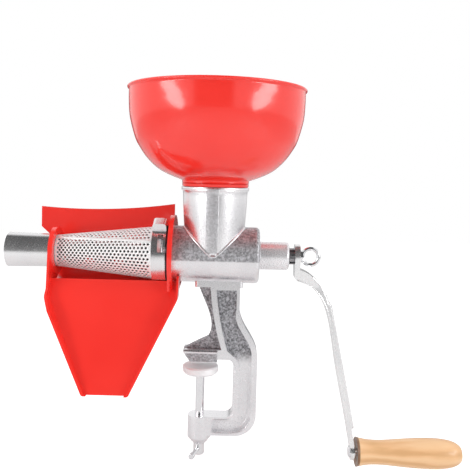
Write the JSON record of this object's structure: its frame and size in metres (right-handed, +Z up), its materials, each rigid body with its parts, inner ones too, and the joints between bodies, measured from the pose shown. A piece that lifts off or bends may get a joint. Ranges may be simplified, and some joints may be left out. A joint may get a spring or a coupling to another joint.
{
  "type": "tomato strainer",
  "caption": "Hand cranked tomato strainer with a hopper bowl, perforated cone, juice slide and table clamp.",
  "frame": {"origin": "on the clamp screw's axis, at the underside of the upper jaw, which rests on the table top", "axes": "+X towards the crank along the barrel, +Z up, -Y the side the juice slide faces"},
  "size_m": [0.4782, 0.1838, 0.3923],
  "materials": {
    "cast_body": "tumbled and polished casting",
    "red_plastic": "glossy",
    "screen_steel": "perforated stainless sheet",
    "turned_aluminium": "polished",
    "plated_steel": "bright plated",
    "crank_steel": "satin plated",
    "auger_plastic": "satin",
    "seal_rubber": "matt",
    "bush_brass": "turned",
    "grip_wood": "clear varnish"
  },
  "bodies": {
    "frame": {"body_casting": "cast_body", "bayonet_pins": "plated_steel", "strainer_gasket": "seal_rubber", "shaft_bush": "bush_brass", "shaft_seal": "seal_rubber"},
    "hopper": {"hopper_bowl": "red_plastic"},
    "strainer": {"strainer_screen": "screen_steel", "strainer_collar": "turned_aluminium", "outlet_tube": "turned_aluminium"},
    "slide": {"juice_chute": "red_plastic"},
    "drive": {"feed_auger": "auger_plastic", "thrust_washer": "plated_steel", "auger_shaft": "plated_steel", "drive_dog": "plated_steel", "crank_arm": "crank_steel", "handle_spindle": "plated_steel", "handle_washer": "plated_steel"},
    "thumb": {"thumb_screw": "plated_steel"},
    "grip": {"handle_grip": "grip_wood"},
    "pad": {"clamp_pad": "turned_aluminium", "pad_keeper": "plated_steel"},
    "screw": {"clamp_screw": "plated_steel"},
    "tommy": {"tommy_bar": "plated_steel", "tommy_knobs": "plated_steel"}
  },
  "joints": [
    {"name": "hopper_lift", "type": "slide", "parent": "frame", "child": "hopper", "axis": [0, 0, 1], "range_m": [0, 0.06]},
    {"name": "strainer_twist", "type": "hinge", "parent": "frame", "child": "strainer", "pos_m": [-0.1, 0, 0.1114], "axis": [1, 0, 0], "range_deg": [-25, 0]},
    {"name": "slide_swing", "type": "hinge", "parent": "frame", "child": "slide", "pos_m": [-0.1, 0, 0.1114], "axis": [1, 0, 0], "range_deg": [-8, 8]},
    {"name": "crank_turn", "type": "hinge", "parent": "frame", "child": "drive", "pos_m": [0, 0, 0.1114], "axis": [1, 0, 0], "continuous": true},
    {"name": "thumb_screw_turn", "type": "hinge", "parent": "drive", "child": "thumb", "pos_m": [0.1, 0, 0.1114], "axis": [1, 0, 0], "range_deg": [0, 720]},
    {"name": "handle_spin", "type": "hinge", "parent": "drive", "child": "grip", "pos_m": [0.22, 0, -0.0943], "axis": [1, 0, 0], "continuous": true},
    {"name": "clamp_slide", "type": "slide", "parent": "frame", "child": "pad", "axis": [0, 0, -1], "range_m": [0, 0.039]},
    {"name": "clamp_screw_turn", "type": "hinge", "parent": "pad", "child": "screw", "pos_m": [0, 0, 0], "axis": [0, 0, -1], "range_deg": [0, 7030]},
    {"name": "tommy_bar_slide", "type": "slide", "parent": "screw", "child": "tommy", "axis": [-0.2419, -0.9703, 0], "range_m": [-0.014, 0.014]}
  ],
  "couplings": [
    {"joint": "clamp_screw_turn", "follows": "clamp_slide", "rad_per_m": 3141.6}
  ]
}
